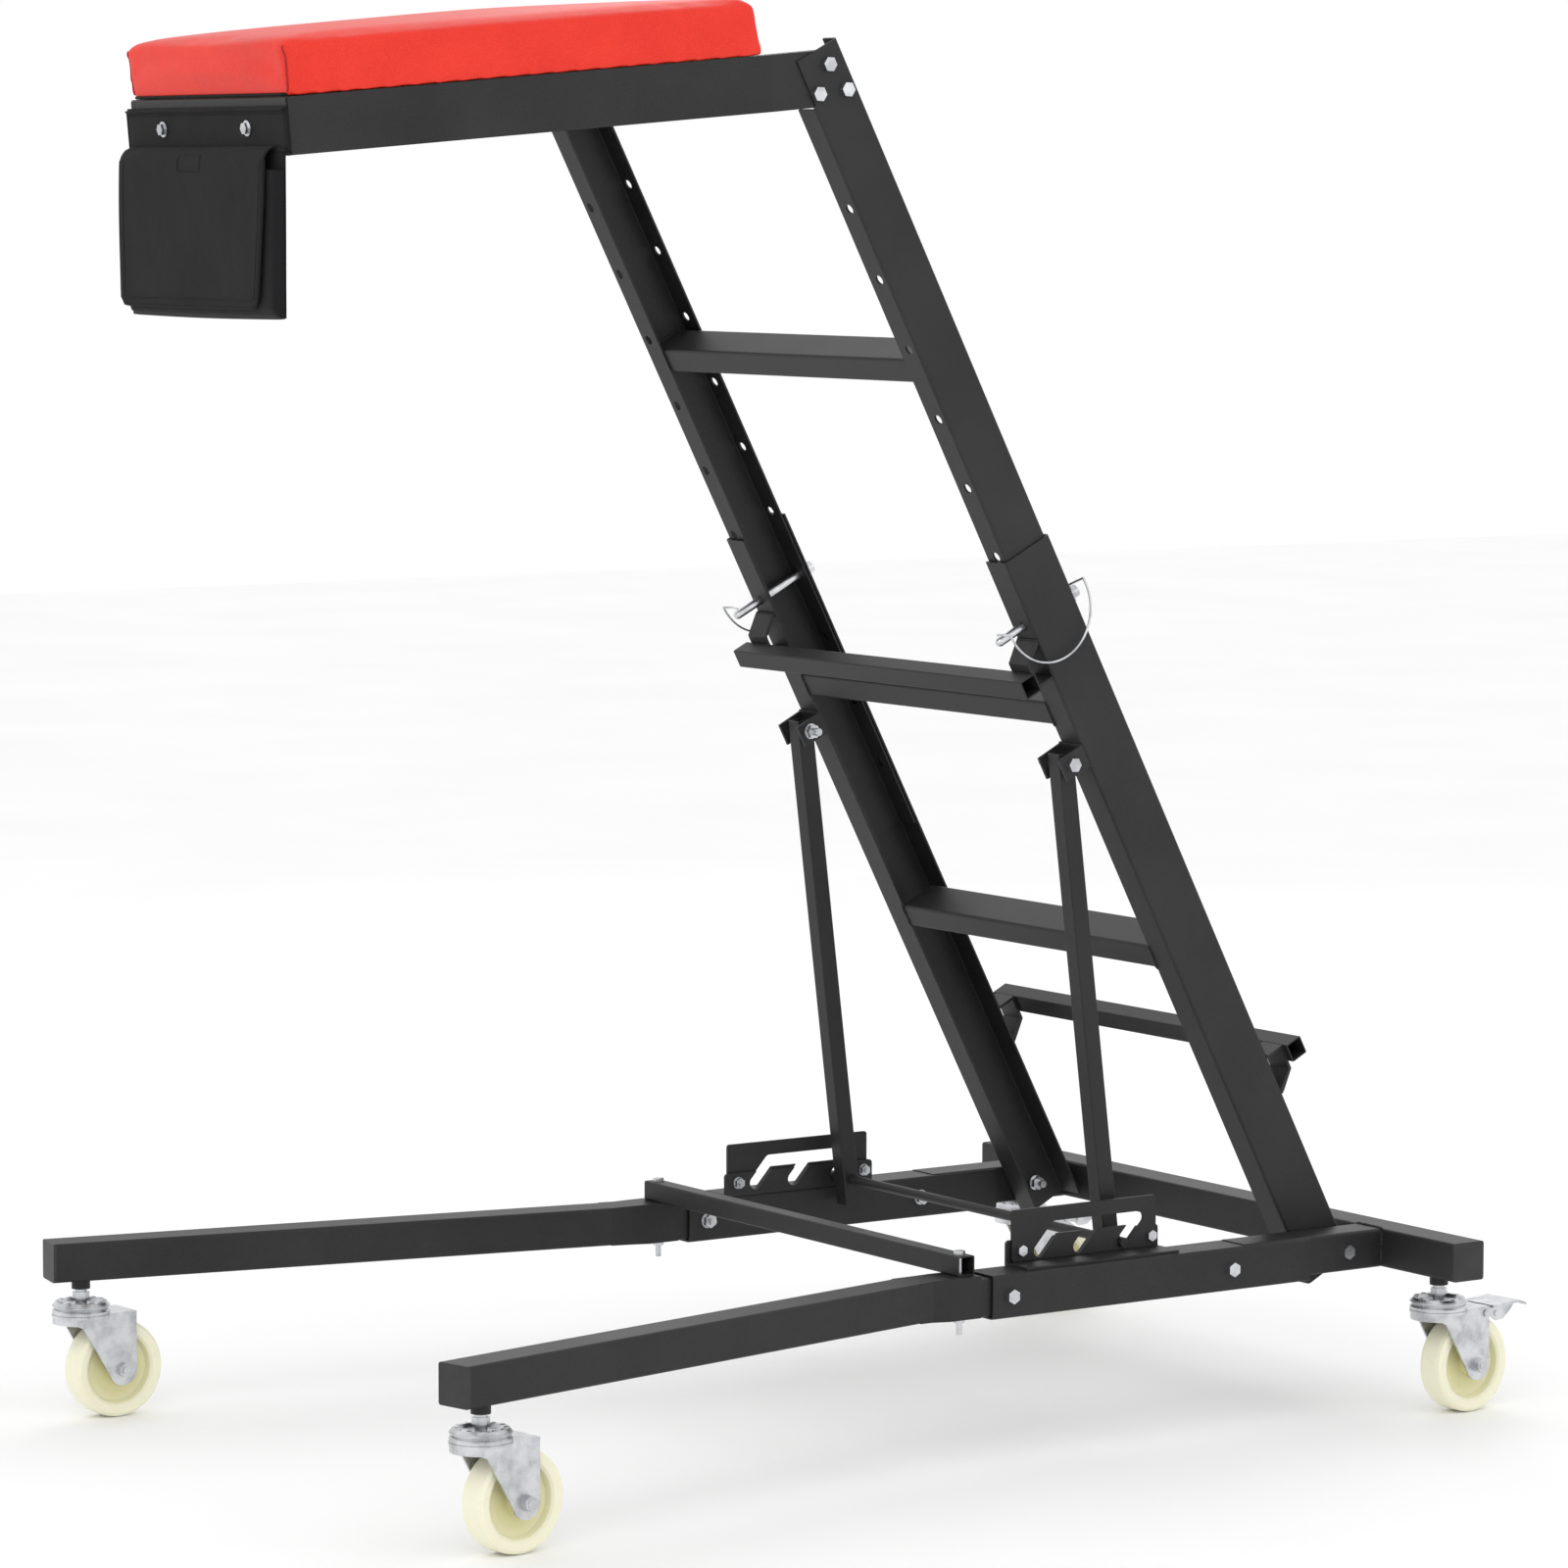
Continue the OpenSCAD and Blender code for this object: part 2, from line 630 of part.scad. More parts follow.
module deck_board() color("burlywood") on_deck()
    translate([0, 0, up_d]) linear_extrude(board_t) pad2d(board_in, 4);

module deck_pad() color("red") on_deck()
    difference() {
        translate([0, 0, up_d + 0.6]) linear_extrude(pad_th) pad2d(0, 10);
        translate([0, 0, up_d - 1]) linear_extrude(board_t + 1.2) pad2d(board_in - 0.3, 4);
    }

module deck_bolts() color("silver") on_ladder() for (sd = [-1, 1]) flip(sd)
    for (p = deck_bolt_ts)
        translate([up_x, p[0], p[1]]) rotate([0, -90, 0]) bolt(8, m8_head, 2 * chan_t, 16);

// ---- bag ----
// Header band bolted to the deck, with the back of the bag hanging from it
module bag_header() color("black") {
    on_deck() difference() {
        translate([-header_half, -deck_len - header_t - 0.2, 4])
            cube([2 * header_half, header_t, 42]);
        bag_holes();
    }
    translate([-bag_w / 2, bag_y, bag_top - bag_h]) cube([bag_w, bag_wall, bag_h + 2]);
}

// Open-topped pocket in front of the back
module bag_pouch() color("black")
    translate([-bag_w / 2, bag_y - bag_depth, bag_top - bag_h])
    difference() {
        cube([bag_w, bag_depth, bag_h - 22]);
        translate([bag_wall, bag_wall, bag_wall])
            cube([bag_w - 2 * bag_wall, bag_depth, bag_h]);
    }

// Flap sewn to the header, falling over the mouth and front of the pocket
module bag_flap() color("black")
    translate([-bag_w / 2 - 1, flap_y, bag_top]) rotate([90, 0, 90]) linear_extrude(bag_w - 14)
    track([[0, 0], [-flap_run, -15], [-flap_run, -flap_drop]], flap_t / 2);

module bag_bolts() color("silver") on_deck()
    for (x = [-1, 1]) translate([x * bag_bolt_x, -deck_len - header_t - 0.4, bag_bolt_z])
        rotate([-90, 0, 0]) {
            translate([0, 0, -1.4]) cylinder(d = 15, h = 1.4, $fn = 48);
            translate([0, 0, -1.2]) bolt(6, m6_head, 6.8, 15);
        }

// ---- casters ----
// Each caster is drawn with its stem on z and its wheel trailing along +y
module front_caster(sd, a) flip(sd) leg_tip(leg_caster) rotate([0, 0, -leg_ang - a])
    translate([0, 0, -frame_z]) children();
module rear_caster(sd, a) flip(sd) translate([caster_x, back_y - tube / 2, 0]) rotate([0, 0, -a])
    children();

module fork() difference() {
    union() {
        // Stem with its hex, and the two halves of the swivel race
        translate([0, 0, 118]) cylinder(d = stem_d, h = caster_z + 14 - 118, $fn = 48);
        translate([0, 0, 125]) hex(15, 7);
        rotate_extrude($fn = 96)
            polygon([[0, 108], [28, 108], [29.5, 110], [29.5, 113], [28, 114.5], [26, 114.5],
                [26, 115.5], [28.5, 116.5], [28.5, 119.5], [26, 122.3], [21, 122.3], [18, 119],
                [0, 119]]);
        // Crown plate and its turned-down front skirt
        translate([0, 0, crown_z]) linear_extrude(fork_t) {
            circle(r = 30, $fn = 96);
            translate([-fork_half, 0]) square([fork_w, 53]);
        }
        intersection() {
            rotate_extrude($fn = 96) translate([26.6, 100]) square([fork_t, 8]);
            translate([-40, -40, 90]) cube([80, 22, 30]);
        }
        cheeks();
    }
    cross(axle_d + 0.4, trail, wheel_d / 2, 40);
}

module cheeks() for (s = [-1, 1]) translate([s * (fork_half - fork_t / 2) - fork_t / 2, 0, 0])
    rotate([90, 0, 90]) linear_extrude(fork_t) {
        polygon([[-19, crown_z + 1], [52.8, crown_z + 1], [52.8, 50], [23.4, 42], [-8, 96],
            [-19, 101]]);
        translate([trail, wheel_d / 2]) circle(r = 16, $fn = 64);
    }

module brake_fork() difference() {
    fork();
    cross(brake_pin + run, brake_u, brake_z, 40);
}

module wheel() translate([0, trail, wheel_d / 2]) rotate([0, 90, 0]) rotate_extrude($fn = 128)
    polygon([[(sleeve_d + run) / 2, -17.5], [10, -17.5], [12, -15.5], [13, -8], [34, -6],
        [36, -12], [39, -14], [46, -15], [49, -13], [50, -9], [50, 9], [49, 13], [46, 15],
        [39, 14], [36, 12], [34, 6], [13, 8], [12, 15.5], [10, 17.5],
        [(sleeve_d + run) / 2, 17.5]]);

module axle() translate([0, trail, wheel_d / 2]) rotate([0, 90, 0]) {
    cylinder(d = axle_d, h = fork_w + 15, center = true, $fn = 32);
    cylinder(d = sleeve_d, h = 36.4, center = true, $fn = 48);
    translate([0, 0, fork_half]) cylinder(d = 16, h = 1.5, $fn = 48);
    translate([0, 0, fork_half + 1.5]) hex(m8_head, 5.5);
    translate([0, 0, -fork_half - 5.2]) hex(m8_head, 5.2);
}

// Brake pedal hinged between the cheeks, behind and above the wheel
module pedal() {
    for (s = [-1, 1]) translate([s * 16.6 - 1, 0, 0]) rotate([90, 0, 90]) linear_extrude(2) {
        translate([brake_u, brake_z]) circle(r = 4.2, $fn = 32);
        polygon([[48, 106.4], [54, 106.4], [58, 108], [94, 109.5], [86, 101], [76, 93],
            [66, 92.5], [60, 97], [48, 98.4]]);
    }
    translate([-22, 0, 0]) rotate([90, 0, 90]) linear_extrude(44)
        polygon([[57, 107], [94, 108.8], [106, 105], [106, 107.4], [95, 111.4], [57, 109.6]]);
    // Hinge pin with riveted ends, and the cross pin that bears on the tread
    cross(brake_pin, brake_u, brake_z, fork_half + 1.6);
    for (s = [-1, 1]) translate([s * (fork_half + 1), 0, 0]) cross(7.5, brake_u, brake_z, 0.7);
    cross(6, 66, 100, 19.2);
}

module caster_fork_fl() color("silver") front_caster(1, swivel_fl) fork();
module caster_wheel_fl() color("ivory") front_caster(1, swivel_fl) wheel();
module caster_axle_fl() color("silver") front_caster(1, swivel_fl) axle();
module caster_fork_fr() color("silver") front_caster(-1, swivel_fr) fork();
module caster_wheel_fr() color("ivory") front_caster(-1, swivel_fr) wheel();
module caster_axle_fr() color("silver") front_caster(-1, swivel_fr) axle();
module caster_fork_rl() color("silver") rear_caster(1, swivel_rl) brake_fork();
module caster_wheel_rl() color("ivory") rear_caster(1, swivel_rl) wheel();
module caster_axle_rl() color("silver") rear_caster(1, swivel_rl) axle();
module brake_pedal_rl() color("silver") rear_caster(1, swivel_rl) pedal();
module caster_fork_rr() color("silver") rear_caster(-1, swivel_rr) brake_fork();
module caster_wheel_rr() color("ivory") rear_caster(-1, swivel_rr) wheel();
module caster_axle_rr() color("silver") rear_caster(-1, swivel_rr) axle();
module brake_pedal_rr() color("silver") rear_caster(-1, swivel_rr) pedal();

module side_rail_l() side_rail(1);
module side_rail_r() side_rail(-1);
module front_leg_l() front_leg(1);
module front_leg_r() front_leg(-1);
module lock_plate_l() lock_plate(1);
module lock_plate_r() lock_plate(-1);
module lock_angle_l() lock_angle(1);
module lock_angle_r() lock_angle(-1);
module lower_stile_l() lower_stile(1);
module lower_stile_r() lower_stile(-1);
module strut_bracket_l() strut_bracket(1);
module strut_bracket_r() strut_bracket(-1);
module strut_l() strut(1);
module strut_r() strut(-1);
module upper_stile_l() upper_stile(1);
module upper_stile_r() upper_stile(-1);
module lock_pin_l() lock_pin(1);
module lock_pin_r() lock_pin(-1);
module pin_wire_l() pin_wire(1);
module pin_wire_r() pin_wire(-1);
module deck_beam_l() deck_beam(1);
module deck_beam_r() deck_beam(-1);

rear_cross_tube();
rail_stubs();
side_rail_l();
side_rail_r();
front_leg_l();
front_leg_r();
tube_caps();
front_cross_tube();
rail_bolts();
small_frame_bolts();
lock_plate_l();
lock_plate_r();
lock_angle_l();
lock_angle_r();
ladder_pivot_bolts();
caster_bosses();
lower_stile_l();
lower_stile_r();
lower_rungs();
front_step_bar();
rear_step_bar();
step_straps();
strut_bracket_l();
strut_bracket_r();
strut_bolts();
strut_l();
strut_r();
lock_rod();
upper_stile_l();
upper_stile_r();
upper_rung();
lock_pin_l();
lock_pin_r();
pin_wire_l();
pin_wire_r();
deck_beam_l();
deck_beam_r();
deck_front_member();
deck_rear_member();
deck_board();
deck_pad();
deck_bolts();
bag_header();
bag_pouch();
bag_flap();
bag_bolts();
caster_fork_fl();
caster_wheel_fl();
caster_axle_fl();
caster_fork_fr();
caster_wheel_fr();
caster_axle_fr();
caster_fork_rl();
caster_wheel_rl();
caster_axle_rl();
brake_pedal_rl();
caster_fork_rr();
caster_wheel_rr();
caster_axle_rr();
brake_pedal_rr();
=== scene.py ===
import json
import math
import random

import bpy
import bmesh
from mathutils import Matrix, Vector
from mathutils.bvhtree import BVHTree


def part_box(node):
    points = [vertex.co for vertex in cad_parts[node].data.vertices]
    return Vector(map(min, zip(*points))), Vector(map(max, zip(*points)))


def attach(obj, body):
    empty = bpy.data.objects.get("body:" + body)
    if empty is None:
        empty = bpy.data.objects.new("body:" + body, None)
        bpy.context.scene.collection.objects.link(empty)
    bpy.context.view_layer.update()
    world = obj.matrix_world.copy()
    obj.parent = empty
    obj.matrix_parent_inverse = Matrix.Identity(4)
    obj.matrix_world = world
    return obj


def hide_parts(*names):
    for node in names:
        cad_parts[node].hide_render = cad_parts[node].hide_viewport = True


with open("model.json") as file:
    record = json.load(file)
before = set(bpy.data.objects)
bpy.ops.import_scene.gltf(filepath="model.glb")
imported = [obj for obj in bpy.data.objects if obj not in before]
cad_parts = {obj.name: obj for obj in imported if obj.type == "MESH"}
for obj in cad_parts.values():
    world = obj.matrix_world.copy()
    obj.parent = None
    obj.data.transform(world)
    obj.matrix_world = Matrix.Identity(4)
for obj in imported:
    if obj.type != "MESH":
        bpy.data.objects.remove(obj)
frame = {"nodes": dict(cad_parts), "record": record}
# The startup file's own objects aren't part of the scene
for name in ("Cube", "Light", "Camera"):
    if name in bpy.data.objects:
        bpy.data.objects.remove(bpy.data.objects[name])
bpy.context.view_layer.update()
random.seed(7)

# ---- places, in metres ----
# The joints' places come from the frame. The angles, the offsets from a joint and the sizes
# further down repeat part.scad.
LEAN = math.radians(27.5)
TILT = math.radians(5.2)
JOINT = {j["name"]: j for j in frame["record"]["behaviour"]["joints"]}
PIVOT = Vector(JOINT["ladder_tilt"]["pos_m"])
BACK_Y = PIVOT.y + 0.0855
DECK = Vector((0, BACK_Y - 0.724, 1.3267))
FLAP = Vector(JOINT["flap_hinge"]["pos_m"])


def on_ladder(x, t, s):
    """x across, t rearward through the ladder, s up along it."""
    return PIVOT + Vector((x, t * math.cos(LEAN) - s * math.sin(LEAN),
                           t * math.sin(LEAN) + s * math.cos(LEAN)))


def on_deck(x, y, z):
    return DECK + Vector((x, y * math.cos(TILT) - z * math.sin(TILT),
                          y * math.sin(TILT) + z * math.cos(TILT)))


# ---- camera ----
cam = bpy.data.objects.new("camera", bpy.data.cameras.new("camera"))
bpy.context.collection.objects.link(cam)
cam.location = (5.1502, BACK_Y - 4.0991, 1.2476)
cam.rotation_euler = (math.radians(84.526), math.radians(-0.112), math.radians(55.721))
cam.data.lens = 142.02
cam.data.sensor_width = 36
cam.data.clip_end = 60
bpy.context.scene.camera = cam
bpy.context.scene.view_settings.view_transform = "Standard"


# ---- materials ----
class Mat:
    """A node material with short helpers for noise, ramps and bump."""

    def __init__(self, name):
        self.m = bpy.data.materials.new(name)
        self.m.use_nodes = True
        self.t = self.m.node_tree
        self.p = next(n for n in self.t.nodes if n.type == "BSDF_PRINCIPLED")
        self.co = self.new("ShaderNodeTexCoord").outputs["Object"]

    def new(self, kind, **values):
        n = self.t.nodes.new(kind)
        for k, v in values.items():
            setattr(n, k, v)
        return n

    def link(self, a, b):
        self.t.links.new(a, b)

    def noise(self, scale, detail=3.0, rough=0.55, stretch=None):
        n = self.new("ShaderNodeTexNoise")
        n.inputs["Scale"].default_value = scale
        n.inputs["Detail"].default_value = detail
        n.inputs["Roughness"].default_value = rough
        self.link(self.mapped(stretch) if stretch else self.co, n.inputs["Vector"])
        return n.outputs["Fac"]

    def mapped(self, scale):
        n = self.new("ShaderNodeMapping")
        n.inputs["Scale"].default_value = scale
        self.link(self.co, n.inputs["Vector"])
        return n.outputs["Vector"]

    def cells(self, scale):
        n = self.new("ShaderNodeTexVoronoi", feature="DISTANCE_TO_EDGE")
        n.inputs["Scale"].default_value = scale
        self.link(self.co, n.inputs["Vector"])
        return n.outputs["Distance"]

    def bands(self, scale, axis):
        n = self.new("ShaderNodeTexWave", bands_direction=axis)
        n.inputs["Scale"].default_value = scale
        n.inputs["Distortion"].default_value = 0.6
        n.inputs["Detail Scale"].default_value = 2.0
        self.link(self.co, n.inputs["Vector"])
        return n.outputs["Fac"]

    def ramp(self, fac, a, b, lo=0.3, hi=0.7):
        n = self.new("ShaderNodeValToRGB")
        e = n.color_ramp.elements
        e[0].position, e[1].position = lo, hi
        e[0].color, e[1].color = (*a, 1), (*b, 1)
        self.link(fac, n.inputs["Fac"])
        return n.outputs["Color"]

    def span(self, fac, lo, hi):
        n = self.new("ShaderNodeMapRange")
        n.inputs["To Min"].default_value = lo
        n.inputs["To Max"].default_value = hi
        self.link(fac, n.inputs["Value"])
        return n.outputs["Result"]

    def math(self, op, a, b):
        n = self.new("ShaderNodeMath", operation=op)
        for i, v in enumerate((a, b)):
            if isinstance(v, (int, float)):
                n.inputs[i].default_value = v
            else:
                self.link(v, n.inputs[i])
        return n.outputs[0]

    def bump(self, height, strength, distance, under=None):
        n = self.new("ShaderNodeBump")
        n.inputs["Strength"].default_value = strength
        n.inputs["Distance"].default_value = distance
        self.link(height, n.inputs["Height"])
        if under:
            self.link(under, n.inputs["Normal"])
        return n.outputs["Normal"]

    def done(self, color, rough, normal=None, **constants):
        self.link(color, self.p.inputs["Base Color"])
        self.link(rough, self.p.inputs["Roughness"])
        if normal:
            self.link(normal, self.p.inputs["Normal"])
        for k, v in constants.items():
            self.p.inputs[k.replace("_", " ")].default_value = v
        return self.m


def powder(name, dark=(0.0115, 0.0115, 0.0125), light=(0.026, 0.026, 0.028)):
    """Black powder coat: a fine orange peel with pinpoint sparkle and faint handling marks."""
    k = Mat(name)
    fine = k.noise(1100, 2.0)
    cloud = k.noise(9, 4.0)
    color = k.ramp(k.math("ADD", k.math("MULTIPLY", fine, 0.55), k.math("MULTIPLY", cloud, 0.45)),
                   dark, light, 0.38, 0.66)
    rough = k.span(k.math("ADD", k.math("MULTIPLY", fine, 0.4), k.math("MULTIPLY", cloud, 0.6)),
                   0.36, 0.6)
    n = k.bump(fine, 0.55, 0.00035, k.bump(k.noise(260, 2.0), 0.3, 0.0005))
    return k.done(color, rough, n, Specular_IOR_Level=0.32)


def zinc(name):
    """Bright zinc plate: cool bloom, fine directional scratches and a trace of yellow passivate."""
    k = Mat(name)
    cloud = k.noise(55, 5.0)
    fine = k.noise(900, 2.0, stretch=(1, 1, 0.12))
    color = k.ramp(cloud, (0.42, 0.43, 0.45), (0.68, 0.69, 0.71), 0.3, 0.62)
    rough = k.span(k.math("ADD", k.math("MULTIPLY", cloud, 0.6), k.math("MULTIPLY", fine, 0.4)),
                   0.16, 0.42)
    return k.done(color, rough, k.bump(fine, 0.25, 0.00015), Metallic=1.0)


def nylon(name, centre):
    """Cream nylon wheel with painted shade, darker and yellower toward the hub recess, with faint
    mould marks.
    """
    k = Mat(name)
    far = k.new("ShaderNodeVectorMath", operation="DISTANCE")
    k.link(k.co, far.inputs[0])
    far.inputs[1].default_value = centre
    radius = k.new("ShaderNodeMapRange")
    radius.inputs["From Min"].default_value = 0.026
    radius.inputs["From Max"].default_value = 0.044
    k.link(far.outputs["Value"], radius.inputs["Value"])
    mix = k.math("ADD", radius.outputs["Result"], k.math("MULTIPLY", k.noise(70, 3.0), 0.18))
    # Toward the hub the colour runs darker and yellower: this is painted shade in the wheel's
    # recess.
    color = k.ramp(mix, (0.72, 0.68, 0.36), (0.88, 0.86, 0.66), 0.1, 0.95)
    fine = k.noise(420, 3.0)
    rough = k.span(k.noise(40, 4.0), 0.2, 0.42)
    return k.done(color, rough, k.bump(fine, 0.12, 0.0003), Subsurface_Weight=0.12,
                  Subsurface_Scale=0.006, Coat_Weight=0.15)


def plastic(name):
    k = Mat(name)
    fine = k.noise(1500, 2.0)
    color = k.ramp(k.noise(30, 3.0), (0.010, 0.010, 0.011), (0.022, 0.022, 0.024))
    return k.done(color, k.span(fine, 0.42, 0.62), k.bump(fine, 0.35, 0.0002))


def wood(name):
    k = Mat(name)
    grain = k.noise(26, 6.0, stretch=(12, 1, 12))
    color = k.ramp(grain, (0.30, 0.19, 0.10), (0.56, 0.41, 0.25))
    return k.done(color, k.span(grain, 0.6, 0.85), k.bump(grain, 0.4, 0.0006))


def vinyl(name, lo=(0.70, 0.020, 0.010), hi=(0.84, 0.036, 0.016)):
    """Red vinyl with a pebbled leather grain and softly varied gloss."""
    k = Mat(name)
    pebble = k.cells(420)
    small = k.cells(900)
    cloud = k.noise(14, 4.0)
    color = k.ramp(k.math("ADD", k.math("MULTIPLY", cloud, 0.75), k.math("MULTIPLY", pebble, 0.9)),
                   lo, hi, 0.25, 0.7)
    crease = k.bump(k.noise(22, 3.0), 0.18, 0.004)
    grain = k.bump(pebble, 0.5, 0.0007, k.bump(small, 0.25, 0.0004, crease))
    return k.done(color, k.span(cloud, 0.34, 0.5), grain, Coat_Weight=0.04,
                  Coat_Roughness=0.35, Specular_IOR_Level=0.3)


WAVE_PERIOD = 0.314     # metres between bands of a wave texture at scale 1


def cloth(name, dark=(0.004, 0.004, 0.0048), light=(0.014, 0.014, 0.016), pitch=0.0009):
    """Plain-woven polyester: warp and weft threads crossing, with pile and dust variation."""
    k = Mat(name)
    per = WAVE_PERIOD / pitch
    warp = k.bands(per, "X")
    weft = k.bands(per, "Z")
    weave = k.math("MAXIMUM", warp, weft)
    cloud = k.noise(18, 4.0)
    color = k.ramp(k.math("ADD", k.math("MULTIPLY", weave, 0.6), k.math("MULTIPLY", cloud, 0.4)),
                   dark, light, 0.35, 0.95)
    soft = k.bump(k.noise(45, 3.0), 0.35, 0.0025)
    return k.done(color, k.span(cloud, 0.72, 0.95), k.bump(weave, 0.6, 0.0003, soft),
                  Sheen_Weight=0.04, Sheen_Roughness=0.5, Specular_IOR_Level=0.2)


PAINT = powder("paint_frame")
PAINT_BAR = powder("paint_bars", (0.010, 0.010, 0.011), (0.023, 0.023, 0.025))
ZINC = zinc("zinc_plate")
CAP = plastic("cap_plastic")
PLY = wood("deck_ply")
VINYL = vinyl("pad_vinyl")
SEAM = vinyl("pad_seam", (0.30, 0.006, 0.004), (0.48, 0.012, 0.007))
CLOTH = cloth("bag_cloth")
BINDING = cloth("bag_binding", (0.003, 0.003, 0.0036), (0.011, 0.011, 0.012), 0.0014)
THREAD = cloth("bag_thread", (0.008, 0.008, 0.009), (0.030, 0.030, 0.033), 0.0005)

FINISH = {"frame_paint": PAINT, "cap_plastic": CAP, "zinc": ZINC, "ply": PLY,
          "pad_vinyl": VINYL, "bag_cloth": CLOTH}
SLOT = {s["node"]: s["material_slot"] for s in frame["record"]["subparts"]}
BARS = ("front_step_bar", "rear_step_bar", "front_cross_tube", "strut_l", "strut_r")

for name, node in frame["nodes"].items():
    if SLOT[name] == "nylon":
        lo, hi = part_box(name)
        made = nylon("nylon_" + name, tuple((Vector(lo) + Vector(hi)) / 2))
    else:
        made = PAINT_BAR if name in BARS else FINISH[SLOT[name]]
    node.data.materials.clear()
    node.data.materials.append(made)


# ---- mesh helpers ----
def piece(name, bm, material, body):
    """A smooth-shaded object made from bm, riding on a body."""
    me = bpy.data.meshes.new(name)
    bmesh.ops.recalc_face_normals(bm, faces=bm.faces)
    bm.to_mesh(me)
    bm.free()
    o = bpy.data.objects.new(name, me)
    bpy.context.collection.objects.link(o)
    me.materials.append(material)
    for f in me.polygons:
        f.use_smooth = True
    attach(o, body)
    return o


def quads(bm, rows):
    """Faces between neighbouring rows of vertices."""
    for low, high in zip(rows, rows[1:]):
        for i in range(len(low) - 1):
            bm.faces.new((low[i], low[i + 1], high[i + 1], high[i]))


def grid(bm, nx, nz, place):
    """Rows of vertices at place(u, w), where u and w run from 0 to 1."""
    return [[bm.verts.new(place(i / nx, j / nz)) for i in range(nx + 1)] for j in range(nz + 1)]


def bead(bm, a, b, radius, step):
    """A run of overlapping ripples from a to b, as a weld lies."""
    a, b = Vector(a), Vector(b)
    n = max(2, int((b - a).length / step))
    for i in range(n + 1):
        at = a.lerp(b, i / n) + Vector([random.uniform(-1, 1) * radius * 0.15 for _ in "xyz"])
        r = radius * random.uniform(0.85, 1.15)
        bmesh.ops.create_icosphere(bm, subdivisions=2, radius=r, matrix=Matrix.Translation(at))


# A direction that no tube here runs along, to set up its cross-section
NEVER_ALONG = Vector((0.13, 0.27, 0.95))


def tube(bm, points, radius, sides=8, closed=False):
    """A round tube along points."""
    pts = [Vector(p) for p in points]
    rings = []
    n = len(pts)
    for i, p in enumerate(pts):
        d = (pts[(i + 1) % n] - pts[i - 1]) if closed or 0 < i < n - 1 else (
            pts[1] - pts[0] if i == 0 else pts[-1] - pts[-2])
        d.normalize()
        side = d.cross(NEVER_ALONG).normalized()
        up = d.cross(side)
        rings.append([bm.verts.new(p + radius * (side * math.cos(a) + up * math.sin(a)))
                      for a in (2 * math.pi * j / sides for j in range(sides))])
    last = n if closed else n - 1
    for i in range(last):
        a, b = rings[i], rings[(i + 1) % n]
        for j in range(sides):
            k = (j + 1) % sides
            bm.faces.new((a[j], a[k], b[k], b[j]))
    if not closed:
        bm.faces.new(rings[0])
        bm.faces.new(list(reversed(rings[-1])))


def stitches(bm, points, pitch, length, radius):
    """Short raised thread loops spaced along a line of points."""
    pts = [Vector(p) for p in points]
    for a, b in zip(pts, pts[1:]):
        d = b - a
        n = max(1, round(d.length / pitch))
        for i in range(n):
            mid = a + d * ((i + 0.5) / n)
            half = d.normalized() * length / 2
            tube(bm, [mid - half, mid, mid + half], radius, 6)


# ---- pad ----
# Front, back, underside and top in deck coordinates; half width at the front, and its taper
PAD_F, PAD_B, PAD_Z0, PAD_Z1 = -0.527, -0.046, 0.0546, 0.1086
PAD_W, PAD_SLOPE = 0.152, 0.19561
CROWN = 0.0045          # rise of the middle of the top
RAKE_F, RAKE_B = 0.0105, 0.003      # how far the lower edge is drawn in, front and back
TUCK = 0.002            # the same at the sides
CORNER_BULGE = 0.003    # how far the sides swell out at the front corners
VOXEL = 0.0046          # mesh size that the simulation works on
MAX_SWELL = 0.0042      # most that the simulation may move a point
PIN_RISE = 0.022        # height over which the hem's hold on the cover fades
HEM_HELD = 0.008        # the hem below this height isn't smoothed
# Inset of the black tube of painted shade along the pad's lower crease
HEM_SHADE_INSET = 0.0100
SIM_FRAMES = 20


def pad_half(y):
    return PAD_W + (y - PAD_F) * PAD_SLOPE


def pad_shape():
    """The foam block: tapered plan, crowned top, sides drawn in toward the hem below."""
    bm = bmesh.new()
    bmesh.ops.create_cube(bm, size=2)
    bmesh.ops.subdivide_edges(bm, edges=bm.edges, cuts=46, use_grid_fill=True)
    for v in bm.verts:
        u, w, h = v.co
        y = (PAD_F + PAD_B) / 2 + w * (PAD_B - PAD_F) / 2
        x = u * pad_half(y)
        z = PAD_Z0 + (h + 1) / 2 * (PAD_Z1 - PAD_Z0)
        top = (h + 1) / 2
        crown = CROWN * (1 - u ** 4) * (1 - w ** 4) * top
        rake = (RAKE_F if w < 0 else RAKE_B) * (1 - top)
        x -= math.copysign(TUCK * (1 - top), x) * abs(u) ** 6
        bulge = CORNER_BULGE * math.sin(math.pi * top) * math.exp(-((w + 1) / 0.06) ** 2)
        x += math.copysign(bulge, x) * abs(u) ** 6
        y -= math.copysign(rake, w) * abs(w) ** 6
        # A little small at the top, because the simulation swells it
        v.co = (x * (1 - 0.010 * top), y, z - 0.003 * top + crown)
    return bm


